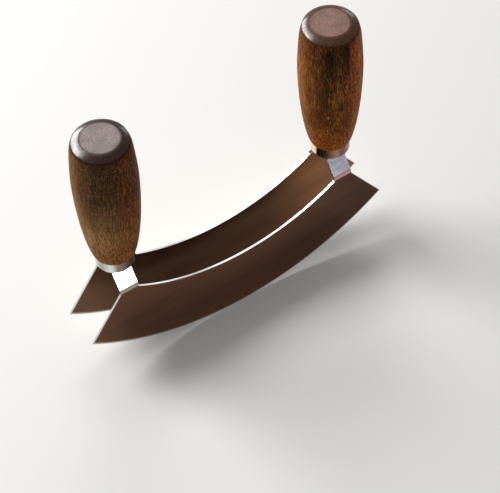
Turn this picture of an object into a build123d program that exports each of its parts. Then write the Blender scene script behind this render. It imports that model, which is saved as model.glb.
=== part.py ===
from build123d import *
from math import atan2, degrees, pi, tan
import os

# Mezzaluna with two rocking blades and two upright wooden handles.
# One folded steel sheet makes both blades and the two straps that bridge them.
# X runs along the blades, Y from the near blade to the far one, Z up.
# The origin is on the surface the edges rock on, under the middle of the tool. Millimetres.

# Folded sheet: blades
blade_length = 180.0      # tip to tip
edge_rise = 30.6          # tips above the lowest point of the cutting edge
waist_height = 40.0       # top edge at mid length, above the lowest point
blade_spread = 24.2       # outer face to outer face
sheet = 1.2               # thickness of the sheet
bevel_height = 1.6        # ground bevel, measured up the face
edge_land = 0.2           # blunt width left at the very edge

# Folded sheet: straps
tip_overhang = 24.5       # from a handle's axis out to the blade tip
strap_width = 10.6        # along X
fold_height = 59.9        # where blade face and strap shoulder would meet
fold_radius = 3.6         # inside the soft bend between blade and shoulder
crown_rise = 9.6          # flat crown above the fold
crown_width = 9.4         # flat crown across Y, between its two bend corners
crown_radius = 0.8        # inside the sharp bends between shoulders and crown

# Fasteners
screw_radius = 2.0
screw_length = 20.0       # under the head
head_radius = 3.5
head_height = 4.0
socket_flats = 3.0
socket_depth = 2.2
screw_chamfer = 0.5
screw_clearance = 0.25    # round the shank in the strap, spacer and ferrule
thread_clearance = 0.05   # round the shank in the insert
washer_thickness = 1.1
washer_radius = 3.5
washer_split = 0.7
washer_split_angle = 20.0

# Spacers between crown and ferrule
spacer_radius = 3.9
spacer_height = 3.4
spacer_chamfer = 0.3

# Ferrules
ferrule_radius = 10.3
ferrule_height = 7.0
ferrule_wall = 1.0
ferrule_round = 0.9       # outer bottom edge
ferrule_bend = 0.3        # bevel in the inner bottom corner
ferrule_chamfer = 0.2     # outer top edge

# Threaded inserts
insert_radius = 3.5
insert_length = 14.0
insert_chamfer = 0.4
insert_groove_depth = 0.35
insert_groove_width = 1.0
insert_groove_shares = (0.3, 0.5, 0.7)
insert_clearance = 0.03   # glue line round the insert
drill_relief = 2.0        # bore left empty above the insert

# Handles
handle_length = 84.0      # above the ferrule
belly_radius = 16.6
neck_radius = 10.8
neck_round = 0.4          # bevel where the neck meets the ferrule
rim_radius = 15.2         # where the side starts to draw in below the top
rim_height = 6.4          # from there to the flat top
rim_lean = 1.0            # how far the side would draw in over that height if it ran straight on
rim_tuck = 1.1            # how far it draws in, up to the corner under the top bevel
top_bevel_width = 4.2     # ring between that corner and the flat top
top_bevel_height = 2.1
top_bevel_bulge = 0.35
top_corner_round = 0.6
top_flat_round = 0.6
tenon_clearance = 0.05
tenon_chamfer = 0.5       # clears the ferrule's inner corner
belly_height_share = 0.66   # of the handle's length
neck_flare_shares = (0.333, 0.072)   # first control point, out and up from neck to belly
belly_low_share = 0.54      # control points below and above the belly
belly_high_share = 0.24
rim_pull_share = 0.14       # control point below the rim
rim_tuck_share = 0.5        # control point above the rim

# Worked out from the sizes above
half_length = blade_length / 2
half_spread = blade_spread / 2
reach = half_length - tip_overhang
strap_inner = reach - strap_width / 2
strap_outer = reach + strap_width / 2
edge_radius = (half_length ** 2 + edge_rise ** 2) / (2 * edge_rise)
shoulder_slope = atan2(crown_rise, half_spread - crown_width / 2)
fold_turn = pi / 2 - shoulder_slope
bend_start = fold_height - (fold_radius + sheet) * tan(fold_turn / 2)
crown_top = fold_height + crown_rise
crown_under = crown_top - sheet
ferrule_base = crown_top + spacer_height
floor_top = ferrule_base + ferrule_wall
ferrule_top = ferrule_base + ferrule_height
handle_top = ferrule_top + handle_length
top_corner_radius = rim_radius - rim_tuck
top_flat_radius = top_corner_radius - top_bevel_width
head_seat = crown_under - washer_thickness
through_radius = screw_radius + screw_clearance
tenon_radius = ferrule_radius - ferrule_wall - tenon_clearance
overrun = sheet * 2       # how far cutting shapes pass the faces they cut


def cylinder_from(base, radius, height):
    # A cylinder that stands on the height base.
    return Pos(0, 0, base) * Cylinder(radius, height, align=(Align.CENTER, Align.CENTER, Align.MIN))


def roof_line(inset, root):
    # The bent line of a strap seen along X, inset from its outer face, down to the height root.
    wall = half_spread - inset
    fold = fold_height - inset * tan(fold_turn / 2)
    crown = crown_width / 2 - inset * tan(shoulder_slope / 2)
    top = crown_top - inset
    points = [(-wall, root), (-wall, fold), (-crown, top), (crown, top), (wall, fold), (wall, root)]
    soft = fold_radius + sheet - inset
    sharp = crown_radius + sheet - inset
    line = FilletPolyline(*points, radius=[soft, sharp, sharp, soft])
    return make_face(Curve() + [line, Line(points[-1], points[0])])


def ground_disc(side):
    # A disc whose rim carries the two-sided grind; its lowest slice is one blade.
    outer = side * half_spread
    inner = side * (half_spread - sheet)
    middle = (outer + inner) / 2
    land = side * edge_land / 2
    points = [
        (inner, edge_radius),
        (inner, bevel_height),
        (middle - land, 0),
        (middle + land, 0),
        (outer, bevel_height),
        (outer, edge_radius),
    ]
    face = Plane.YZ * make_face(Polyline(*points, close=True))
    return revolve(face, axis=Axis((0, 0, edge_radius), (0, 1, 0)))


def crescent_prism():
    # Trims the discs: concave top edge, shoulders under the straps and slanted ends to the tips.
    run = (half_length - strap_outer) / (bend_start - edge_rise)
    low = strap_outer + run * (bend_start + overrun)
    left = (-strap_inner, bend_start)
    right = (strap_inner, bend_start)
    top_edge = ThreePointArc(left, (0, waist_height), right)
    ends = Polyline(
        right,
        (strap_outer, bend_start),
        (low, -overrun),
        (-low, -overrun),
        (-strap_outer, bend_start),
        left,
    )
    face = Plane.XZ * make_face(Curve() + [top_edge, ends])
    return extrude(face, amount=blade_spread, both=True)


def strap(side):
    # A roof-shaped bridge with a flat crown, drilled for its screw.
    root = bend_start - sheet
    bent = roof_line(0, root) - roof_line(sheet, root - overrun)
    bridge = extrude(Plane.YZ * bent, amount=strap_width / 2, both=True)
    bridge -= cylinder_from(crown_under - overrun, through_radius, sheet + 2 * overrun)
    return Pos(side * reach, 0, 0) * bridge


def twin_blade():
    blades = (ground_disc(-1) + ground_disc(1)) & crescent_prism()
    return (blades + strap(-1) + strap(1)).clean()


def screw():
    # Socket-head cap screw that points up, its head under the strap.
    shank = cylinder_from(head_seat, screw_radius, screw_length)
    shank = chamfer(shank.edges().sort_by(Axis.Z)[-1], screw_chamfer)
    head = cylinder_from(head_seat - head_height, head_radius, head_height)
    head = chamfer(head.edges().group_by(Axis.Z)[0], screw_chamfer / 2)
    socket = extrude(RegularPolygon(socket_flats / 2, 6, major_radius=False), amount=socket_depth)
    return shank + head - Pos(0, 0, head_seat - head_height) * socket


def lock_washer():
    # Split spring washer between the screw head and the strap.
    ring = cylinder_from(head_seat, washer_radius, washer_thickness)
    ring -= cylinder_from(head_seat - overrun, through_radius, washer_thickness + 2 * overrun)
    slit = Box(washer_radius, washer_split, washer_thickness * 3)
    spot = Pos(washer_radius, 0, head_seat + washer_thickness / 2)
    return ring - spot * Rot(washer_split_angle, 0, 0) * slit


def spacer():
    # Turned bush that carries the ferrule clear of the strap's bends.
    bush = cylinder_from(crown_top, spacer_radius, spacer_height)
    bush = chamfer(bush.edges().filter_by(GeomType.CIRCLE), spacer_chamfer)
    return bush - cylinder_from(crown_top - overrun, through_radius, spacer_height + 2 * overrun)


def ferrule():
    # Pressed steel cup that holds the foot of the handle.
    cup = cylinder_from(ferrule_base, ferrule_radius, ferrule_height)
    cup = fillet(cup.edges().group_by(Axis.Z)[0], ferrule_round)
    cup = chamfer(cup.edges().group_by(Axis.Z)[-1], ferrule_chamfer)
    pocket = cylinder_from(floor_top, ferrule_radius - ferrule_wall, ferrule_height)
    pocket = chamfer(pocket.edges().group_by(Axis.Z)[0], ferrule_bend)
    return cup - pocket - cylinder_from(ferrule_base - overrun, through_radius, ferrule_height)


def insert():
    # Brass sleeve set in the handle, with ring grooves for the glue.
    sleeve = cylinder_from(floor_top, insert_radius, insert_length)
    sleeve = chamfer(sleeve.edges().filter_by(GeomType.CIRCLE), insert_chamfer)
    for share in insert_groove_shares:
        groove_base = floor_top + insert_length * share - insert_groove_width / 2
        groove = cylinder_from(groove_base, insert_radius + overrun, insert_groove_width)
        core = cylinder_from(groove_base, insert_radius - insert_groove_depth, insert_groove_width)
        sleeve -= groove - core
    bore = cylinder_from(floor_top - overrun, screw_radius + thread_clearance, insert_length + 2 * overrun)
    return sleeve - bore


def barrel_side():
    # The side of the barrel as radius and height: neck to belly, rim, top corner and flat top.
    neck = (neck_radius, ferrule_top + neck_round)
    belly = (belly_radius, ferrule_top + handle_length * belly_height_share)
    rim = (rim_radius, handle_top - rim_height)
    corner = (top_corner_radius, handle_top - top_bevel_height)
    flat = (top_flat_radius, handle_top)
    low = belly[1] - neck[1]
    high = rim[1] - belly[1]
    flare_out, flare_up = neck_flare_shares
    pull = high * rim_pull_share
    lower = Bezier(
        neck,
        (neck_radius + (belly_radius - neck_radius) * flare_out, neck[1] + low * flare_up),
        (belly_radius, belly[1] - low * belly_low_share),
        belly,
    )
    upper = Bezier(
        belly,
        (belly_radius, belly[1] + high * belly_high_share),
        (rim_radius + pull * rim_lean / rim_height, rim[1] - pull),
        rim,
    )
    rise = (corner[1] - rim[1]) * rim_tuck_share
    draw_in = Bezier(rim, (rim_radius - rise * rim_lean / rim_height, rim[1] + rise), corner)
    bulge = ((corner[0] + flat[0]) / 2 + top_bevel_bulge, (corner[1] + flat[1]) / 2 + top_bevel_bulge)
    return [lower, upper, draw_in, Bezier(corner, bulge, flat)]


def handle():
    # Turned in one piece: tenon inside the ferrule, flared neck, full belly, bevelled flat top.
    foot = Polyline(
        (top_flat_radius, handle_top),
        (0, handle_top),
        (0, floor_top),
        (tenon_radius - tenon_chamfer, floor_top),
        (tenon_radius, floor_top + tenon_chamfer),
        (tenon_radius, ferrule_top),
        (neck_radius - neck_round, ferrule_top),
        (neck_radius, ferrule_top + neck_round),
    )
    wood = revolve(Plane.XZ * make_face(Curve() + [foot] + barrel_side()), axis=Axis.Z)
    wood = fillet(wood.edges().filter_by(GeomType.CIRCLE).sort_by(Axis.Z)[-2], top_corner_round)
    wood = fillet(wood.edges().filter_by(GeomType.CIRCLE).sort_by(Axis.Z)[-1], top_flat_round)
    wood -= cylinder_from(floor_top, insert_radius + insert_clearance, insert_length)
    return wood - cylinder_from(floor_top, through_radius, insert_length + drill_relief)


def place(piece, side):
    return Pos(side * reach, 0, 0) * piece


def save(name, *solids):
    # One file per piece; identical fasteners share a file as separate solids.
    shape = solids[0] if len(solids) == 1 else Compound(children=list(solids))
    shape.label = name
    export_step(shape, os.path.join("parts", name + ".step"))


os.makedirs("parts", exist_ok=True)
save("twin_blade", twin_blade())
for side_name, side in (("left", -1), ("right", 1)):
    save(side_name + "_spacer", place(spacer(), side))
    save(side_name + "_ferrule", place(ferrule(), side))
    save(side_name + "_insert", place(insert(), side))
    save(side_name + "_handle", place(handle(), side))
save("strap_screws", place(screw(), -1), place(screw(), 1))
save("lock_washers", place(lock_washer(), -1), place(lock_washer(), 1))
print("edge radius", round(edge_radius, 2), "shoulder slope", round(degrees(shoulder_slope), 1))
print("height", round(handle_top, 2))
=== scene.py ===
import bpy
import bmesh
import math
from mathutils import Matrix, Vector


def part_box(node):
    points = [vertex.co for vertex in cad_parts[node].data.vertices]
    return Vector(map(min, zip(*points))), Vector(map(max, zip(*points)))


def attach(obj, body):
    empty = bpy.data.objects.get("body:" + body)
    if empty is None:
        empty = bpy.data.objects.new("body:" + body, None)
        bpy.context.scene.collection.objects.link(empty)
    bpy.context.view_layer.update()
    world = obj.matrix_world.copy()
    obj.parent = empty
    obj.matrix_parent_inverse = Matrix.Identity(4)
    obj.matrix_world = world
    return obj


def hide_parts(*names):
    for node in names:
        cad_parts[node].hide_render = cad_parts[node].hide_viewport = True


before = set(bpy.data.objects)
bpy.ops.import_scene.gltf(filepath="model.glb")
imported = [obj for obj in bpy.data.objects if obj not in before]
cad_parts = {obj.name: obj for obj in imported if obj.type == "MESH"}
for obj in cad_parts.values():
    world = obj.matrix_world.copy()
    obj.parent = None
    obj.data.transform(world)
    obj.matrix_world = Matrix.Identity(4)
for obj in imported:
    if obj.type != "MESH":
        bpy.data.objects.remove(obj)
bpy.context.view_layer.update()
scene = bpy.context.scene
scene.view_settings.view_transform = "Standard"
mm = 0.001
print("frame loaded:", len(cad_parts), "nodes")


# helpers for node trees

def addNode(tree, kind, inputs=None, **settings):
    node = tree.nodes.new(kind)
    for name, value in settings.items():
        setattr(node, name, value)
    for name, value in (inputs or {}).items():
        socket = node.inputs[name]
        if isinstance(value, bpy.types.NodeSocket):
            tree.links.new(value, socket)
        else:
            socket.default_value = value
    return node


def startMaterial(name, inputs):
    # an empty material with one Principled shader, and the object's own coordinates
    material = bpy.data.materials.new(name)
    material.use_nodes = True
    tree = material.node_tree
    tree.nodes.clear()
    shader = addNode(tree, "ShaderNodeBsdfPrincipled", inputs)
    output = addNode(tree, "ShaderNodeOutputMaterial")
    tree.links.new(shader.outputs["BSDF"], output.inputs["Surface"])
    place = addNode(tree, "ShaderNodeTexCoord").outputs["Object"]
    return material, tree, shader, place


def stretchedNoise(tree, place, scale, detail=4.0, roughness=0.5, shift=(0, 0, 0), distortion=0.0):
    # noise whose grains are stretched: scale is grains per metre along X, Y and Z
    mapping = addNode(tree, "ShaderNodeMapping", {"Vector": place, "Scale": scale, "Location": shift})
    noise = addNode(tree, "ShaderNodeTexNoise", {
        "Vector": mapping.outputs["Vector"], "Scale": 1.0, "Detail": detail,
        "Roughness": roughness, "Distortion": distortion})
    return noise.outputs["Fac"]


def ramp(tree, factor, stops, mode="LINEAR"):
    # stops are (position, colour) pairs
    node = addNode(tree, "ShaderNodeValToRGB", {"Fac": factor})
    node.color_ramp.interpolation = mode
    elements = node.color_ramp.elements
    while len(elements) < len(stops):
        elements.new(0.5)
    for element, (position, colour) in zip(elements, stops):
        element.position = position
        element.color = (*colour, 1)
    return node.outputs["Color"]


def mixColour(tree, factor, first, second, blend="MIX"):
    node = addNode(tree, "ShaderNodeMix", data_type="RGBA", blend_type=blend)
    for socket, value in ((node.inputs[0], factor), (node.inputs[6], first), (node.inputs[7], second)):
        if isinstance(value, bpy.types.NodeSocket):
            tree.links.new(value, socket)
        else:
            socket.default_value = value
    return node.outputs[2]


def maths(tree, operation, first, second=0.0):
    return addNode(tree, "ShaderNodeMath", {0: first, 1: second}, operation=operation).outputs[0]


def product(tree, first, *others):
    for factor in others:
        first = maths(tree, "MULTIPLY", first, factor)
    return first


def wander(tree, noise, reach):
    # noise centred on 0, as far as reach / 2 to each side
    return product(tree, maths(tree, "SUBTRACT", noise, 0.5), reach)


def shadeBy(tree, tone, factor):
    return mixColour(tree, 1.0, tone, factor, "MULTIPLY")


def within(tree, value, start, end, low=0.0, high=1.0):
    # low at start, high at end, held beyond both
    return addNode(tree, "ShaderNodeMapRange", {
        "Value": value, "From Min": start, "From Max": end, "To Min": low, "To Max": high}).outputs["Result"]


def facingAlong(tree, axis):
    # how far the surface faces along an axis of the object, -1 to 1
    normal = addNode(tree, "ShaderNodeTexCoord").outputs["Normal"]
    return addNode(tree, "ShaderNodeSeparateXYZ", {0: normal}).outputs[axis]


def spread(tree, factor, low, high):
    # turns 0..1 into low..high
    node = addNode(tree, "ShaderNodeMapRange", {"Value": factor, "To Min": low, "To Max": high})
    return node.outputs["Result"]


def wire(tree, source, shader, name):
    tree.links.new(source, shader.inputs[name])


def addBump(tree, shader, height, distance):
    bump = addNode(tree, "ShaderNodeBump", {"Height": height, "Distance": distance, "Strength": 1.0})
    wire(tree, bump.outputs["Normal"], shader, "Normal")


# metals

steelLook = {
    # the blade faces that look to -Y are painted with a brown reflection, carried by the colours below
    "nearPaintedReflection": (0.192, 0.080, 0.041),
    "farPaintedReflection": (0.192, 0.091, 0.046),
    "warmPaintedReflection": (0.370, 0.160, 0.066),   # painted reflection, warmer at the far blade's right end
    "warmSpan": (32 * mm, 58 * mm),        # along X
    "bareColour": (0.44, 0.395, 0.365),    # sides that face +Y
    "paintedTipShade": 0.42,                      # painted shade: how much the near blade darkens to its tips
    "endSpan": (12 * mm, 80 * mm),
    "nearPaintedDrift": (1.28, 0.92),             # painted light and shade: its slow change from lighter at the left to darker at the right
    "driftSpan": (-45 * mm, 32 * mm),
    "cloudScale": (16, 60, 70),
    "cloudShade": (0.72, 1.12),
    "faceRoughness": (0.14, 0.26),
    "bendPaintedReflections": ((0.42, 0.36, 0.32), (0.58, 0.345, 0.315)),   # painted reflections on the bends, at the left and the right strap
    "bareBendColour": (0.60, 0.57, 0.55),
    # how squarely the skin faces sideways where the bend's tone comes and goes
    "bendTurns": (0.80, 0.83, 0.990, 0.998),
    # the strap steel is near white, with a lilac-blue tint that is a painted sky reflection
    "strapColour": (0.91, 0.87, 1.0),
    "strapRoughness": (0.08, 0.2),
    # painted reflection shade: slow darker clouds on the straps
    "strapPaintedReflectionShade": (0.74, 1.0),
    # the strap sides are painted dark, a painted reflection of the dark blades beside them
    "strapSidePaintedReflection": (0.11, 0.078, 0.064),
    "reflectionCloudScale": (110, 190, 190),
    "edgeColour": (0.62, 0.60, 0.58),
    "edgeRoughness": (0.3, 0.46),
    "edgeGrain": (900, 300, 900),
    "grindColour": (0.40, 0.335, 0.295),
    "grindRoughness": (0.16, 0.3),
    "brushAcross": 3200,      # brush lines per metre, across the grain
    "brushAlong": 26,         # and along it
    "strokesAlong": 90,       # on the straps and the ground bevel
    "brushDepth": 0.006 * mm,
}


def makeSheetSteel(name, bent):
    # long satin brush lines along the blade, with a slow change of tone; faces that look to -Y carry a
    # painted brown reflection with painted shade towards the tips; bent skin brightens to the straps through
    # painted reflections
    look = steelLook
    material, tree, shader, place = startMaterial(name, {"Metallic": 1.0})
    brushing = (look["brushAlong"], look["brushAcross"], look["brushAcross"])
    lines = stretchedNoise(tree, place, brushing, 6.0, 0.6)
    clouds = stretchedNoise(tree, place, look["cloudScale"], 5.0, 0.6)
    spot = addNode(tree, "ShaderNodeSeparateXYZ", {0: place}).outputs
    farShare = within(tree, spot["Y"], -1 * mm, 1 * mm)
    rightShare = within(tree, spot["X"], -1 * mm, 1 * mm)
    tipShare = within(tree, maths(tree, "ABSOLUTE", spot["X"]), *look["endSpan"])
    nearShade = maths(tree, "SUBTRACT", 1.0, product(tree, tipShare, look["paintedTipShade"]))
    nearShade = product(tree, nearShade, within(tree, spot["X"], *look["driftSpan"], *look["nearPaintedDrift"]))
    near = shadeBy(tree, (*look["nearPaintedReflection"], 1), nearShade)
    warmShare = within(tree, spot["X"], *look["warmSpan"])
    far = mixColour(tree, warmShare, (*look["farPaintedReflection"], 1), (*look["warmPaintedReflection"], 1))
    facing = facingAlong(tree, "Y")
    # faces that look +Y keep bare steel, those that look -Y get the painted reflection
    bareShare = within(tree, facing, -0.05, 0.05)
    colour = mixColour(tree, farShare, near, far)
    colour = mixColour(tree, bareShare, colour, (*look["bareColour"], 1))
    colour = shadeBy(tree, colour, within(tree, clouds, 0.3, 0.7, *look["cloudShade"]))
    if bent:
        sideways = maths(tree, "ABSOLUTE", facing)
        turns = look["bendTurns"]
        leftBend, rightBend = look["bendPaintedReflections"]
        # painted reflection on the bend, greyer at the left strap and pinker at the right
        bend = mixColour(tree, rightShare, (*leftBend, 1), (*rightBend, 1))
        bend = mixColour(tree, bareShare, bend, (*look["bareBendColour"], 1))
        strap = mixColour(tree, within(tree, sideways, *turns[:2]), (*look["strapColour"], 1), bend)
        colour = mixColour(tree, within(tree, sideways, *turns[2:]), strap, colour)
    wire(tree, colour, shader, "Base Color")
    wire(tree, spread(tree, lines, *look["faceRoughness"]), shader, "Roughness")
    addBump(tree, shader, lines, look["brushDepth"])
    return material


def makePlainMetal(name, colour, roughness, grain, paintedReflectionShade=(1.0, 1.0)):
    # bare metal with one direction of fine marks, darkened in slow clouds of painted reflection shade by the
    # last argument; grain is marks per metre along X, Y and Z
    material, tree, shader, place = startMaterial(name, {"Metallic": 1.0})
    marks = stretchedNoise(tree, place, grain, 5.0, 0.6)
    reflectionClouds = stretchedNoise(tree, place, steelLook["reflectionCloudScale"], 3.0, 0.6, (4.1, 2.3, 0.8), 0.5)
    darker = tuple(0.9 * c for c in colour)
    tone = mixColour(tree, marks, (*darker, 1), (*colour, 1))
    tone = shadeBy(tree, tone, within(tree, reflectionClouds, 0.38, 0.58, *paintedReflectionShade))
    wire(tree, tone, shader, "Base Color")
    wire(tree, spread(tree, marks, *roughness), shader, "Roughness")
    addBump(tree, shader, marks, steelLook["brushDepth"])
    return material


turnedLook = {
    "ferruleRoughness": (0.06, 0.15),
    "fastenerColour": (0.60, 0.59, 0.58),
    "fastenerRoughness": (0.22, 0.4),
    "brassColour": (0.76, 0.55, 0.24),
    "brassRoughness": (0.2, 0.36),
    "latheGrain": (30, 30, 2600),      # rings per metre run round the axis
    "sideways": (0.857, -0.515, 0),    # the ferrules' painted reflections change along this direction
    "ferrulePaintedReflections": {
        "left": [(0.05, (0.62, 0.50, 0.40)), (0.16, (0.36, 0.36, 0.31)), (0.42, (0.74, 0.78, 0.74)),
                 (0.60, (0.26, 0.18, 0.145)), (0.95, (0.075, 0.040, 0.032))],
        "right": [(0.08, (0.90, 0.70, 0.46)), (0.16, (0.035, 0.022, 0.018)), (0.34, (0.085, 0.045, 0.030)),
                  (0.64, (0.36, 0.195, 0.115)), (0.78, (0.23, 0.115, 0.072)), (0.96, (0.27, 0.120, 0.064))],
    },
}


def acrossAxis(tree, place, box, direction):
    # 0 to 1 from one side of an upright round piece to the other, and the offset from its axis
    low, high = box
    radius = (high.y - low.y) / 2
    axis = ((low.x + high.x) / 2, 0, 0)
    offset = addNode(tree, "ShaderNodeVectorMath", {0: place, 1: axis}, operation="SUBTRACT").outputs[0]
    run = addNode(tree, "ShaderNodeVectorMath", {0: offset, 1: direction}, operation="DOT_PRODUCT")
    return within(tree, run.outputs["Value"], -radius, radius), offset


def makeFerruleSteel(side):
    look = turnedLook
    material, tree, shader, place = startMaterial(side + "FerruleSteel", {"Metallic": 1.0})
    marks = stretchedNoise(tree, place, look["latheGrain"], 5.0, 0.6)
    share = acrossAxis(tree, place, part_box(side + "_ferrule"), look["sideways"])[0]
    # painted reflection: the ferrule's tone runs from side to side
    tone = ramp(tree, share, look["ferrulePaintedReflections"][side], "EASE")
    wire(tree, shadeBy(tree, tone, spread(tree, marks, 0.8, 1.2)), shader, "Base Color")
    wire(tree, spread(tree, marks, *look["ferruleRoughness"]), shader, "Roughness")
    addBump(tree, shader, marks, steelLook["brushDepth"])
    return material


across, strokes = steelLook["brushAcross"], steelLook["strokesAlong"]
metals = {
    "sheet": makeSheetSteel("sheetSteel", False),
    "bend": makeSheetSteel("bentSteel", True),
    "strap": makePlainMetal("strapSteel", steelLook["strapColour"], steelLook["strapRoughness"],
                            (strokes, across, across), steelLook["strapPaintedReflectionShade"]),
    "strapSide": makePlainMetal("strapSideSteel", steelLook["strapSidePaintedReflection"], steelLook["edgeRoughness"],
                                steelLook["edgeGrain"]),
    "edge": makePlainMetal("cutEdge", steelLook["edgeColour"], steelLook["edgeRoughness"],
                           steelLook["edgeGrain"]),
    "grind": makePlainMetal("groundBevel", steelLook["grindColour"], steelLook["grindRoughness"],
                            (across, strokes, strokes)),
    "leftFerrule": makeFerruleSteel("left"),
    "rightFerrule": makeFerruleSteel("right"),
    "fastener": makePlainMetal("fastenerSteel", turnedLook["fastenerColour"], turnedLook["fastenerRoughness"],
                               turnedLook["latheGrain"]),
    "brass": makePlainMetal("insertBrass", turnedLook["brassColour"], turnedLook["brassRoughness"],
                            turnedLook["latheGrain"]),
}
print("metals made:", len(metals))


# folded twin blade: the sheet's own shape with its edges eased

sheetFinish = {
    "edgeEase": 0.12 * mm,    # rounding of the sheared edges
    "easeSteps": 2,
    "grindHeight": 1.9 * mm,  # faces this near the cutting arc are the grind
    "keepSharp": 0.35 * mm,   # edges this near the arc stay keen
    "strapDepth": 14 * mm,    # the straps lie this far below the crown at most
    "crownDepth": 2 * mm,
    "sharpTurn": 35,          # degrees; sharper corners are eased
    "flatTurn": 0.5,          # and flatter ones are merged into one face
    "weldGap": 0.001 * mm,
    "skins": ["sheet", "edge", "grind", "strap", "bend", "strapSide"],
}


def pickSkin(normal, middle, depth, top):
    # which finish a face of the sheet gets, from how it faces and where it lies
    sideways = abs(normal.y)   # 1 on the flat of a blade, 0 on a strap's crown
    if abs(normal.x) > 0.97 and middle.z > top - sheetFinish["strapDepth"]:
        return "strapSide"
    if sideways < 0.3 and middle.z < top - sheetFinish["crownDepth"]:
        return "edge"
    if 0.9 < sideways < 0.99 and depth < sheetFinish["grindHeight"]:
        return "grind"
    if sideways < 0.8:
        return "strap"
    return "bend" if sideways < 0.9995 else "sheet"


def cuttingRadius(half):
    # radius of the cutting arc, which touches the floor and ends in the tips, half away from the middle
    tips = [v.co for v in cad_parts["twin_blade"].data.vertices if v.co.x > half - 0.01 * mm]
    rise = min(p.z for p in tips)
    return (half * half + rise * rise) / (2 * rise)


def makeFoldedBlades():
    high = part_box("twin_blade")[1]
    radius = cuttingRadius(high.x)
    centre = Vector((0, 0, radius))

    def depthFromArc(point):
        return radius - (Vector((point.x, 0, point.z)) - centre).length

    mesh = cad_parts["twin_blade"].data.copy()
    mesh.name = "foldedBlades"
    mesh.materials.clear()
    for name in sheetFinish["skins"]:
        mesh.materials.append(metals[name])
    sheet = bmesh.new()
    sheet.from_mesh(mesh)
    bmesh.ops.remove_doubles(sheet, verts=sheet.verts, dist=sheetFinish["weldGap"])
    bmesh.ops.dissolve_limit(sheet, angle_limit=math.radians(sheetFinish["flatTurn"]),
                             verts=sheet.verts, edges=sheet.edges)
    weight = sheet.edges.layers.float.new("bevel_weight_edge")
    for edge in sheet.edges:
        turn = edge.calc_face_angle(0)
        keen = all(depthFromArc(v.co) < sheetFinish["keepSharp"] for v in edge.verts)
        if turn > math.radians(sheetFinish["sharpTurn"]) and not keen:
            edge[weight] = 1
    for face in sheet.faces:
        face.smooth = True
        middle = face.calc_center_median()
        skin = pickSkin(face.normal, middle, depthFromArc(middle), high.z)
        face.material_index = sheetFinish["skins"].index(skin)
    sheet.to_mesh(mesh)
    sheet.free()
    rough = bpy.data.objects.new("foldedBladesRough", mesh)
    scene.collection.objects.link(rough)
    ease = rough.modifiers.new("ease", "BEVEL")
    ease.limit_method = "WEIGHT"
    ease.width = sheetFinish["edgeEase"]
    ease.segments = sheetFinish["easeSteps"]
    flat = rough.modifiers.new("flat", "WEIGHTED_NORMAL")
    flat.weight = 100
    return bakeObject(rough, "foldedBlades")


def bakeObject(rough, name):
    # the evaluated object as a plain mesh, in place of the one with modifiers
    graph = bpy.context.evaluated_depsgraph_get()
    mesh = bpy.data.meshes.new_from_object(rough.evaluated_get(graph))
    mesh.name = name
    bpy.data.objects.remove(rough)
    piece = bpy.data.objects.new(name, mesh)
    scene.collection.objects.link(piece)
    return piece


foldedBlades = makeFoldedBlades()
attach(foldedBlades, "root")
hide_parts("twin_blade")
print("folded blades:", len(foldedBlades.data.polygons), "faces")


# wood of the handles

woodLook = {
    "sideToSide": (0.857, -0.515, 0),   # the stain streaks and the painted rim light change along this direction
    # grains per metre along X, Y and Z
    "bandScale": (230, 230, 17),       # stain bands
    "patchScale": (120, 120, 55),      # where the flecks gather
    "fleckScale": (1500, 1500, 330),
    "dashScale": (2100, 2100, 260),
    "fibreScale": (2600, 2600, 70),
    "poreScale": (1700, 1700, 380),
    "endScale": (1500, 1500, 60),
    "endCloudScale": (170, 170, 60),
    "mottleScale": (1000, 1000, 420),
    "nickScale": (420, 420, 200),
    "turnMarks": 1500,                 # rings per metre of radius on the flat top
    "grooves": 850,                    # faint turning grooves per metre up the side
    "grooveWaves": 1.6,
    "bandWander": 0.42,                # how far the bands stray across the layers
    # heights above the foot where each zone starts and where it is full
    "lowSheenSpan": (62 * mm, 26 * mm),
    "lowSheenFade": (8 * mm, 26 * mm),
    "footSpan": (30 * mm, 12 * mm),
    "footLimit": (56 * mm, 30 * mm),
    "mottleSpan": (36 * mm, 16 * mm),
    "grooveSpan": (34 * mm, 52 * mm),
    # the same from the top down
    "shadeSpan": (-22 * mm, -9 * mm),
    "darkRingSpan": (-4.4 * mm, -2.0 * mm),
    "flatSpan": (-1.0 * mm, -0.5 * mm),
    "raggedness": 5.0 * mm,            # of the borders of the ring
    "flatBlend": 0.9 * mm,
    "fibreShade": (0.25, 1.7),
    "mottleShade": (0.48, 1.38),       # at the foot and towards the end of the side-to-side ramp
    "ringShade": (0.3, 1.9),
    "turnShade": (0.74, 1.18),
    "endCloudShade": (0.72, 1.25),
    "poreDepth": 0.05 * mm,
    "roughness": (0.42, 0.58),
    "specular": 0.03,
    "ringCoat": 0.95,                  # thick lacquer on the ring under the flat top
    "coatRoughness": 0.24,
}

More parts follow.
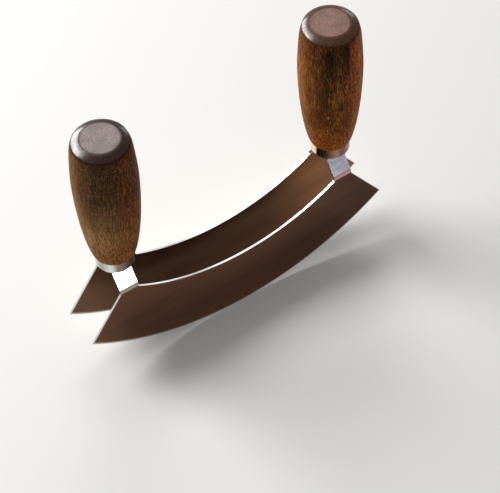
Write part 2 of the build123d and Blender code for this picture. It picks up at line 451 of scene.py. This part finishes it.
# stain streaks and painted rim light, lighter at both sides, run from side to side: position, colour
handleTones = {
    "left": {
        "layers": [(0.04, (0.200, 0.076, 0.022)), (0.17, (0.092, 0.038, 0.0125)),
                   (0.36, (0.050, 0.0245, 0.0100)), (0.60, (0.058, 0.0245, 0.0090)),
                   (0.80, (0.100, 0.0250, 0.0045)), (0.97, (0.100, 0.0190, 0.0035))],
        # painted sheen, lighter low down
        "low": (0.430, 0.205, 0.0720),
        "foot": (0.270, 0.095, 0.0160),
        "fleck": (0.240, 0.120, 0.032),
        "fleckShare": 0.55,
        "topShade": 0.97,       # just under the ring
        "grooveShade": (0.76, 1.22),
        "pore": (0.008, 0.0035, 0.0018),
        "nick": (0.30, 0.17, 0.10),
        # end grain lightened to a mauve grey by painted sheen
        "endGrainAndSheen": (0.265, 0.180, 0.172),
        "endDark": (0.085, 0.054, 0.050),
        # painted dark reflection on the ring
        "ring": (0.028, 0.0110, 0.0062),
        "ringWear": (0.45, 1.0),
        "flatCoat": 0.85,
    },
    "right": {
        "layers": [(0.02, (0.300, 0.094, 0.017)), (0.17, (0.120, 0.034, 0.0055)),
                   (0.36, (0.050, 0.0175, 0.0045)), (0.47, (0.014, 0.0066, 0.0045)),
                   (0.60, (0.100, 0.034, 0.0062)), (0.73, (0.022, 0.0068, 0.0036)),
                   (0.83, (0.330, 0.070, 0.0080)), (0.98, (0.270, 0.072, 0.0110))],
        # painted sheen, lighter low down
        "low": (0.150, 0.041, 0.0048),
        "foot": (0.345, 0.080, 0.0060),
        "fleck": (0.430, 0.165, 0.030),
        "fleckShare": 0.70,
        "topShade": 0.62,
        "grooveShade": (0.94, 1.05),
        "pore": (0.008, 0.0030, 0.0014),
        "nick": (0.42, 0.26, 0.15),
        # end grain lightened by painted sheen
        "endGrainAndSheen": (0.325, 0.140, 0.088),
        "endDark": (0.072, 0.028, 0.017),
        # painted dark reflection on the ring
        "ring": (0.070, 0.0260, 0.0120),
        "ringWear": (0.30, 0.85),
        "flatCoat": 0.5,
    },
}


def stretchedSpots(tree, place, scale, size, shift=(0, 0, 0)):
    # scattered long spots: 1 in the middle of each, 0 from size outwards, in cells
    mapping = addNode(tree, "ShaderNodeMapping", {"Vector": place, "Scale": scale, "Location": shift})
    cells = addNode(tree, "ShaderNodeTexVoronoi", {"Vector": mapping.outputs["Vector"], "Scale": 1.0})
    return within(tree, cells.outputs["Distance"], size, size * 0.4)


def noiseAlong(tree, distance):
    # noise along one distance, for marks that a lathe leaves
    return addNode(tree, "ShaderNodeTexNoise", {"W": distance, "Scale": 1.0, "Detail": 2.0},
                   noise_dimensions="1D").outputs["Fac"]


def makeHandleWood(side):
    look, tones = woodLook, handleTones[side]
    low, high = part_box(side + "_handle")
    material, tree, shader, place = startMaterial(side + "StainedWood", {
        "Specular IOR Level": look["specular"], "Coat Roughness": look["coatRoughness"]})
    sideShare, offset = acrossAxis(tree, place, (low, high), look["sideToSide"])
    height = addNode(tree, "ShaderNodeSeparateXYZ", {0: place}).outputs["Z"]

    def upSide(base, span, start=0.0, end=1.0, level=height):
        # changes from start to end over a span of heights above base
        return within(tree, level, base + span[0], base + span[1], start, end)

    bands = stretchedNoise(tree, place, look["bandScale"], 4.0, 0.6, (3.1, 1.7, 0.4), 0.4)
    patches = stretchedNoise(tree, place, look["patchScale"], 3.0, 0.6, (1.9, 4.4, 2.6))
    fibres = stretchedNoise(tree, place, look["fibreScale"], 4.0, 0.65, (2.2, 0.7, 6.1))
    dashes = stretchedNoise(tree, place, look["dashScale"], 2.0, 0.5, (0.3, 5.2, 1.1))
    mottle = stretchedNoise(tree, place, look["mottleScale"], 3.0, 0.6, (5.2, 8.1, 1.7))
    nicks = stretchedNoise(tree, place, look["nickScale"], 1.0, 0.5, (7.7, 2.9, 0.3))
    endSpots = stretchedNoise(tree, place, look["endScale"], 6.0, 0.75, (0.9, 3.3, 5.0))
    endClouds = stretchedNoise(tree, place, look["endCloudScale"], 3.0, 0.6, (2.9, 1.3, 4.0))
    flecks = stretchedSpots(tree, place, look["fleckScale"], 0.42, (6.3, 1.2, 3.1))
    pores = stretchedSpots(tree, place, look["poreScale"], 0.34, (4.2, 0.6, 8.0))

    # stain streaks with painted rim light at both sides, a painted sheen lighter low down, redder at the foot
    stray = wander(tree, bands, look["bandWander"])
    tone = ramp(tree, maths(tree, "ADD", sideShare, stray), tones["layers"])
    # painted sheen lighter low down
    lowSheenShare = product(tree, upSide(low.z, look["lowSheenSpan"]), 0.85, within(tree, bands, 0.38, 0.6, 0.55, 1.0),
                       upSide(low.z, look["lowSheenFade"], 0.2, 1.0), within(tree, sideShare, 0.52, 0.80, 1.0, 0.4))
    tone = mixColour(tree, lowSheenShare, tone, (*tones["low"], 1))
    footShare = maths(tree, "MAXIMUM", upSide(low.z, look["footSpan"]), within(tree, sideShare, 0.62, 0.9))
    footShare = product(tree, footShare, upSide(low.z, look["footLimit"], 0.0, 0.75))
    tone = mixColour(tree, footShare, tone, (*tones["foot"], 1))

    # figure: flecks in patches, fibres, grooves, mottle, pores and nicks
    bright = maths(tree, "MAXIMUM", within(tree, dashes, 0.5, 0.64), flecks)
    fleckShare = product(tree, bright, within(tree, patches, 0.36, 0.62, 0.08, 1.0), tones["fleckShare"])
    tone = mixColour(tree, fleckShare, tone, (*tones["fleck"], 1))
    tone = shadeBy(tree, tone, within(tree, fibres, 0.32, 0.68, *look["fibreShade"]))
    grooveRun = maths(tree, "ADD", product(tree, height, look["grooves"]),
                      product(tree, patches, look["grooveWaves"]))
    grooveShade = within(tree, noiseAlong(tree, grooveRun), 0.36, 0.64, *tones["grooveShade"])
    tone = mixColour(tree, upSide(low.z, look["grooveSpan"]), tone, grooveShade, "MULTIPLY")
    mottleShare = maths(tree, "MAXIMUM", upSide(low.z, look["mottleSpan"]), within(tree, sideShare, 0.60, 0.80))
    mottleShade = within(tree, mottle, 0.38, 0.60, *look["mottleShade"])
    tone = mixColour(tree, mottleShare, tone, mottleShade, "MULTIPLY")
    poreShare = product(tree, pores, within(tree, patches, 0.70, 0.42, 0.55, 1.0))
    tone = mixColour(tree, poreShare, tone, (*tones["pore"], 1))
    topShade = upSide(high.z, look["shadeSpan"], 1.0, tones["topShade"])
    tone = mixColour(tree, within(tree, sideShare, 0.86, 0.76), tone, topShade, "MULTIPLY")
    tone = mixColour(tree, within(tree, nicks, 0.765, 0.785, 0.0, 0.6), tone, (*tones["nick"], 1))

    # the ring under the flat top is painted near-black, a painted dark reflection; the flat itself shows end
    # grain and turning marks, lightened by painted sheen
    raggedHeight = maths(tree, "ADD", height, wander(tree, dashes, look["raggedness"]))
    ringTone = shadeBy(tree, (*tones["ring"], 1), within(tree, endSpots, 0.3, 0.7, *look["ringShade"]))
    tone = mixColour(tree, upSide(high.z, look["darkRingSpan"], level=raggedHeight), tone, ringTone)
    across = addNode(tree, "ShaderNodeVectorMath", {0: offset, 1: (1, 1, 0)}, operation="MULTIPLY").outputs[0]
    radius = addNode(tree, "ShaderNodeVectorMath", {0: across}, operation="LENGTH").outputs["Value"]
    turned = noiseAlong(tree, product(tree, radius, look["turnMarks"]))
    endTone = ramp(tree, endSpots, [(0.34, tones["endDark"]), (0.66, tones["endGrainAndSheen"])])
    endTone = shadeBy(tree, endTone, within(tree, turned, 0.3, 0.7, *look["turnShade"]))
    endTone = shadeBy(tree, endTone, within(tree, endClouds, 0.3, 0.7, *look["endCloudShade"]))
    flatRim = barrel["rimRadius"] - barrel["rimTuck"] - barrel["bevelWidth"]
    raggedRadius = maths(tree, "ADD", radius, wander(tree, endSpots, look["raggedness"]))
    flat = within(tree, raggedRadius, flatRim + look["flatBlend"], flatRim - look["flatBlend"])
    flat = product(tree, flat, upSide(high.z, look["flatSpan"]))
    tone = mixColour(tree, flat, tone, endTone)

    # lacquer: only where the top and its ring look up, worn thin in spots on the ring
    worn = maths(tree, "MAXIMUM", flat, within(tree, endSpots, 0.40, 0.62, *tones["ringWear"]))
    thinner = maths(tree, "SUBTRACT", 1.0, product(tree, flat, 1.0 - tones["flatCoat"]))
    coat = product(tree, within(tree, facingAlong(tree, "Z"), 0.45, 0.7), look["ringCoat"], worn, thinner)
    wire(tree, coat, shader, "Coat Weight")
    wire(tree, tone, shader, "Base Color")
    wire(tree, spread(tree, dashes, *look["roughness"]), shader, "Roughness")
    relief = maths(tree, "SUBTRACT", spread(tree, fibres, 0.0, 0.5), poreShare)
    addBump(tree, shader, relief, look["poreDepth"])
    return material


# turned handles: one Geometry Nodes tree, spun from profile spans

barrel = {
    "neckRadius": 10.8 * mm,
    "neckBevel": 0.4 * mm,
    "bellyRadius": 16.6 * mm,
    "bellyShare": 0.66,       # of the length above the ferrule
    "rimRadius": 15.2 * mm,   # where the side starts to draw in
    "rimHeight": 6.4 * mm,
    "rimLean": 1.0 * mm,
    "rimTuck": 1.1 * mm,
    "bevelWidth": 4.2 * mm,   # ring round the flat top
    "bevelHeight": 2.1 * mm,
    "bevelBulge": 0.35 * mm,
    "edgeEase": 0.35 * mm,
    "easeSteps": 3,
    "easeTurn": 18,           # degrees; sharper corners are eased
    "creaseTurn": 30,         # and what is still this sharp is shaded as a corner
    "around": 160,
    "along": 60,
    # rings of faces along the short spans of the profile
    "footRings": 6,
    "neckRings": 3,
    "topRings": 12,
    "curveSteps": 128,
    "weldGap": 0.005 * mm,
    # control points of the curved spans, as shares of the way between their ends
    "flareShares": (0.333, 0.072),
    "bellyShares": (0.54, 0.24),
    "rimShare": 0.14,
    "tuckShare": 0.5,
}


def makeSpanGroup():
    # one Bezier span of the profile (X is the radius, Z the height) spun round the Z axis
    group = bpy.data.node_groups.new("spinSpan", "GeometryNodeTree")
    face = group.interface
    for name in ("Start", "Start Handle", "End Handle", "End"):
        face.new_socket(name, in_out="INPUT", socket_type="NodeSocketVector")
    for name in ("Around", "Along"):
        face.new_socket(name, in_out="INPUT", socket_type="NodeSocketInt")
    face.new_socket("Mesh", in_out="OUTPUT", socket_type="NodeSocketGeometry")
    start = addNode(group, "NodeGroupInput").outputs
    span = addNode(group, "GeometryNodeCurvePrimitiveBezierSegment", {
        "Resolution": barrel["curveSteps"], "Start": start["Start"], "Start Handle": start["Start Handle"],
        "End Handle": start["End Handle"], "End": start["End"]}, mode="POSITION")
    columns = addNode(group, "ShaderNodeMath", {0: start["Around"], 1: 1.0}, operation="ADD")
    rows = addNode(group, "ShaderNodeMath", {0: start["Along"], 1: 1.0}, operation="ADD")
    grid = addNode(group, "GeometryNodeMeshGrid", {
        "Size X": 1.0, "Size Y": 1.0, "Vertices X": columns.outputs[0], "Vertices Y": rows.outputs[0]})
    position = addNode(group, "GeometryNodeInputPosition").outputs[0]
    here = addNode(group, "ShaderNodeSeparateXYZ", {0: position})
    share = addNode(group, "ShaderNodeMath", {0: here.outputs["Y"], 1: 0.5}, operation="ADD")
    turn = addNode(group, "ShaderNodeMath", {0: here.outputs["X"], 1: math.tau}, operation="MULTIPLY")
    point = addNode(group, "GeometryNodeSampleCurve", {
        "Curves": span.outputs[0], "Factor": share.outputs[0]}, mode="FACTOR")
    spun = addNode(group, "ShaderNodeVectorRotate", {
        "Vector": point.outputs["Position"], "Angle": turn.outputs[0]}, rotation_type="Z_AXIS")
    placed = addNode(group, "GeometryNodeSetPosition", {
        "Geometry": grid.outputs["Mesh"], "Position": spun.outputs[0]})
    end = addNode(group, "NodeGroupOutput")
    group.links.new(placed.outputs[0], end.inputs["Mesh"])
    return group


def makeBarrelTree(spanGroup):
    tree = bpy.data.node_groups.new("turnedBarrel", "GeometryNodeTree")
    face = tree.interface
    sizes = ["Axis X", "Foot", "Top", "Neck Radius", "Neck Bevel", "Belly Radius", "Belly Height",
             "Rim Radius", "Rim Height", "Rim Lean", "Rim Tuck", "Bevel Width", "Bevel Height", "Bevel Bulge"]
    for name in sizes:
        face.new_socket(name, in_out="INPUT", socket_type="NodeSocketFloat")
    for name in ("Around", "Along"):
        face.new_socket(name, in_out="INPUT", socket_type="NodeSocketInt")
    face.new_socket("Wood", in_out="INPUT", socket_type="NodeSocketMaterial")
    face.new_socket("Mesh", in_out="OUTPUT", socket_type="NodeSocketGeometry")
    given = addNode(tree, "NodeGroupInput").outputs

    def calc(operation, first, second):
        return maths(tree, operation, first, second)

    def corner(radius, height):
        return addNode(tree, "ShaderNodeCombineXYZ", {"X": radius, "Z": height}).outputs[0]

    def between(first, second, share):
        return addNode(tree, "ShaderNodeMix", {0: share, 4: first, 5: second}, data_type="VECTOR").outputs[1]

    flareOut, flareUp = barrel["flareShares"]
    bellyBelow, bellyAbove = barrel["bellyShares"]
    foot, top = given["Foot"], given["Top"]
    neckTop = calc("ADD", foot, given["Neck Bevel"])
    rimFoot = calc("SUBTRACT", top, given["Rim Height"])
    lowRun = calc("SUBTRACT", given["Belly Height"], neckTop)
    highRun = calc("SUBTRACT", rimFoot, given["Belly Height"])
    swell = calc("SUBTRACT", given["Belly Radius"], given["Neck Radius"])
    pull = calc("MULTIPLY", highRun, barrel["rimShare"])
    lean = calc("MULTIPLY", pull, calc("DIVIDE", given["Rim Lean"], given["Rim Height"]))
    centreFoot = corner(0.0, foot)
    seat = corner(calc("SUBTRACT", given["Neck Radius"], given["Neck Bevel"]), foot)
    neck = corner(given["Neck Radius"], neckTop)
    neckOut = corner(calc("ADD", given["Neck Radius"], calc("MULTIPLY", swell, flareOut)),
                     calc("ADD", neckTop, calc("MULTIPLY", lowRun, flareUp)))
    bellyIn = corner(given["Belly Radius"],
                     calc("SUBTRACT", given["Belly Height"], calc("MULTIPLY", lowRun, bellyBelow)))
    belly = corner(given["Belly Radius"], given["Belly Height"])
    bellyOut = corner(given["Belly Radius"],
                      calc("ADD", given["Belly Height"], calc("MULTIPLY", highRun, bellyAbove)))
    rimIn = corner(calc("ADD", given["Rim Radius"], lean), calc("SUBTRACT", rimFoot, pull))
    rim = corner(given["Rim Radius"], rimFoot)
    edgeRadius = calc("SUBTRACT", given["Rim Radius"], given["Rim Tuck"])
    edgeHeight = calc("SUBTRACT", top, given["Bevel Height"])
    tuckRise = calc("MULTIPLY", calc("SUBTRACT", edgeHeight, rimFoot), barrel["tuckShare"])
    tuckLean = calc("MULTIPLY", tuckRise, calc("DIVIDE", given["Rim Lean"], given["Rim Height"]))
    drawIn = corner(calc("SUBTRACT", given["Rim Radius"], tuckLean), calc("ADD", rimFoot, tuckRise))
    topEdge = corner(edgeRadius, edgeHeight)
    flat = corner(calc("SUBTRACT", edgeRadius, given["Bevel Width"]), top)
    bulge = addNode(tree, "ShaderNodeVectorMath", {
        0: between(topEdge, flat, 0.5), 1: corner(given["Bevel Bulge"], given["Bevel Bulge"])},
        operation="ADD")
    centreTop = corner(0.0, top)

    def quadratic(first, middle, last):
        # a span with one control point, as the two handles of a cubic one
        return first, between(first, middle, 2 / 3), between(last, middle, 2 / 3), last

    def straight(first, last):
        return first, between(first, last, 1 / 3), between(first, last, 2 / 3), last

    join = addNode(tree, "GeometryNodeJoinGeometry")
    spans = [
        (straight(centreFoot, seat), barrel["footRings"]),
        (straight(seat, neck), barrel["neckRings"]),
        ((neck, neckOut, bellyIn, belly), given["Along"]),
        ((belly, bellyOut, rimIn, rim), given["Along"]),
        (quadratic(rim, drawIn, topEdge), barrel["topRings"]),
        (quadratic(topEdge, bulge.outputs[0], flat), barrel["topRings"]),
        (straight(flat, centreTop), barrel["topRings"]),
    ]
    for points, along in spans:
        span = addNode(tree, "GeometryNodeGroup")
        span.node_tree = spanGroup
        for name, point in zip(("Start", "Start Handle", "End Handle", "End"), points):
            tree.links.new(point, span.inputs[name])
        tree.links.new(given["Around"], span.inputs["Around"])
        if isinstance(along, int):
            span.inputs["Along"].default_value = along
        else:
            tree.links.new(along, span.inputs["Along"])
        tree.links.new(span.outputs[0], join.inputs[0])
    welded = addNode(tree, "GeometryNodeMergeByDistance", {
        "Geometry": join.outputs[0], "Distance": barrel["weldGap"]})
    moved = addNode(tree, "GeometryNodeTransform", {
        "Geometry": welded.outputs[0], "Translation": corner(given["Axis X"], 0.0)})
    smooth = addNode(tree, "GeometryNodeSetShadeSmooth", {"Geometry": moved.outputs[0]})
    real = addNode(tree, "GeometryNodeRealizeInstances", {"Geometry": smooth.outputs[0]})
    painted = addNode(tree, "GeometryNodeSetMaterial", {
        "Geometry": real.outputs[0], "Material": given["Wood"]})
    end = addNode(tree, "NodeGroupOutput")
    tree.links.new(painted.outputs[0], end.inputs["Mesh"])
    return tree


def runTree(tree, name, values, easeWidth=0):
    # an object made only by the tree, then turned into a plain mesh
    holder = bpy.data.objects.new(name + "Rough", bpy.data.meshes.new(name + "Rough"))
    scene.collection.objects.link(holder)
    modifier = holder.modifiers.new("make", "NODES")
    modifier.node_group = tree
    for item in tree.interface.items_tree:
        if item.item_type == "SOCKET" and item.in_out == "INPUT" and item.name in values:
            modifier[item.identifier] = values[item.name]
    if easeWidth:
        ease = holder.modifiers.new("ease", "BEVEL")
        ease.width = easeWidth
        ease.segments = barrel["easeSteps"]
        ease.limit_method = "ANGLE"
        ease.angle_limit = math.radians(barrel["easeTurn"])
    return bakeObject(holder, name)


def finishNormals(piece):
    # one outward skin, with sharp corners kept sharp
    skin = bmesh.new()
    skin.from_mesh(piece.data)
    bmesh.ops.recalc_face_normals(skin, faces=skin.faces)
    for edge in skin.edges:
        edge.smooth = edge.calc_face_angle(0) < math.radians(barrel["creaseTurn"])
    skin.to_mesh(piece.data)
    skin.free()


barrelTree = makeBarrelTree(makeSpanGroup())
for side in ("left", "right"):
    handleLow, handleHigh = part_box(side + "_handle")
    foot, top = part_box(side + "_ferrule")[1].z, handleHigh.z
    handle = runTree(barrelTree, side + "TurnedHandle", {
        "Axis X": (handleLow.x + handleHigh.x) / 2,
        "Foot": foot,
        "Top": top,
        "Neck Radius": barrel["neckRadius"],
        "Neck Bevel": barrel["neckBevel"],
        "Belly Radius": barrel["bellyRadius"],
        "Belly Height": foot + (top - foot) * barrel["bellyShare"],
        "Rim Radius": barrel["rimRadius"],
        "Rim Height": barrel["rimHeight"],
        "Rim Lean": barrel["rimLean"],
        "Rim Tuck": barrel["rimTuck"],
        "Bevel Width": barrel["bevelWidth"],
        "Bevel Height": barrel["bevelHeight"],
        "Bevel Bulge": barrel["bevelBulge"],
        "Around": barrel["around"],
        "Along": barrel["along"],
        "Wood": makeHandleWood(side),
    }, barrel["edgeEase"])
    finishNormals(handle)
    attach(handle, "root")
    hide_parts(side + "_handle")
    print(side, "handle:", len(handle.data.polygons), "faces")


# carried-over pieces

finishes = {
    "left_ferrule": "leftFerrule", "right_ferrule": "rightFerrule",
    "left_spacer": "fastener", "right_spacer": "fastener",
    "left_insert": "brass", "right_insert": "brass",
    "strap_screws": "fastener", "lock_washers": "fastener",
}
for node, finish in finishes.items():
    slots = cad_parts[node].data.materials
    slots.clear()
    slots.append(metals[finish])
print("carried over:", len(finishes), "nodes")


# floor, light and camera

studio = {
    "floorColour": (0.86, 0.835, 0.80),
    "floorReach": 6,          # metres to each side
    "worldColour": (0.92, 0.96, 1.0),
    "worldStrength": 0.38,
    "lamps": {
        # direction from the tool, direction of the long side, distance, two sizes, energy,
        # and whether it is seen only in reflections
        "softbox": ((-0.45, 0.55, 0.70), (1, 0, 0), 1.3, 0.7, 0.7, 13, False),
        "window": ((-0.33, 0.80, 0.49), (-0.56, -0.45, 0.40), 1.3, 0.5, 1.5, 50, True),
        "ceiling": ((0.30, 0.58, 0.75), (1, 0, 0), 1.2, 0.5, 0.5, 3.0, False),
        "sideCard": ((0.80, 0.54, 0.27), (0, 0, 1), 1.0, 0.25, 0.3, 0.9, True),
        "strapCard": ((0.20, -0.92, 0.33), (0, 0, 1), 1.0, 0.2, 0.2, 0.95, True),
    },
    "lampTarget": (0, 0, 60 * mm),
}


def makeFloor():
    material, tree, shader, place = startMaterial("paleFloor", {"Roughness": 0.9})
    tone = stretchedNoise(tree, place, (3, 3, 3), 2.0)
    shade = tuple(0.985 * c for c in studio["floorColour"])
    wire(tree, mixColour(tree, tone, (*shade, 1), (*studio["floorColour"], 1)), shader, "Base Color")
    mesh = bpy.data.meshes.new("floor")
    reach = studio["floorReach"]
    corners = [(-reach, -reach, 0), (reach, -reach, 0), (reach, reach, 0), (-reach, reach, 0)]
    mesh.from_pydata(corners, [], [(0, 1, 2, 3)])
    mesh.materials.append(material)
    floor = bpy.data.objects.new("floor", mesh)
    scene.collection.objects.link(floor)


def makeLamp(name, direction, longSide, distance, width, length, energy, onlyReflected):
    lamp = bpy.data.lights.new(name, "AREA")
    lamp.shape = "RECTANGLE"
    lamp.size = width
    lamp.size_y = length
    lamp.energy = energy
    item = bpy.data.objects.new(name, lamp)
    outward = Vector(direction).normalized()
    shortSide = Vector(longSide).cross(outward).normalized()
    turn = Matrix((shortSide, outward.cross(shortSide), outward)).transposed().to_4x4()
    item.matrix_world = Matrix.Translation(Vector(studio["lampTarget"]) + outward * distance) @ turn
    item.visible_diffuse = not onlyReflected
    scene.collection.objects.link(item)


def makeWorld():
    world = bpy.data.worlds.new("studioAir")
    world.use_nodes = True
    background = world.node_tree.nodes["Background"]
    background.inputs["Color"].default_value = (*studio["worldColour"], 1)
    background.inputs["Strength"].default_value = studio["worldStrength"]
    scene.world = world


photoCamera = {
    "azimuth": -31.23,        # degrees; 0 looks along +Y
    "elevation": 51.98,
    "roll": -2.69,
    "distance": 1085.4 * mm,
    "focalLength": 146.56,
    "sensorWidth": 36,
    "aimPoint": (13.75 * mm, 0, 24.06 * mm),
}


def makeCamera():
    azimuth, elevation, roll = (math.radians(photoCamera[k]) for k in ("azimuth", "elevation", "roll"))
    back = Vector((math.sin(azimuth) * math.cos(elevation),
                   -math.cos(azimuth) * math.cos(elevation), math.sin(elevation)))
    level = Vector((math.cos(azimuth), math.sin(azimuth), 0))
    upright = back.cross(level)
    right = math.cos(roll) * level + math.sin(roll) * upright
    up = -math.sin(roll) * level + math.cos(roll) * upright
    data = bpy.data.cameras.new("photoCamera")
    data.sensor_width = photoCamera["sensorWidth"]
    data.lens = photoCamera["focalLength"]
    camera = bpy.data.objects.new("photoCamera", data)
    turn = Matrix((right, up, back)).transposed().to_4x4()
    camera.matrix_world = Matrix.Translation(
        Vector(photoCamera["aimPoint"]) + back * photoCamera["distance"]) @ turn
    scene.collection.objects.link(camera)
    scene.camera = camera


makeFloor()
makeWorld()
for lampName, setup in studio["lamps"].items():
    makeLamp(lampName, *setup)
makeCamera()
print("studio ready")
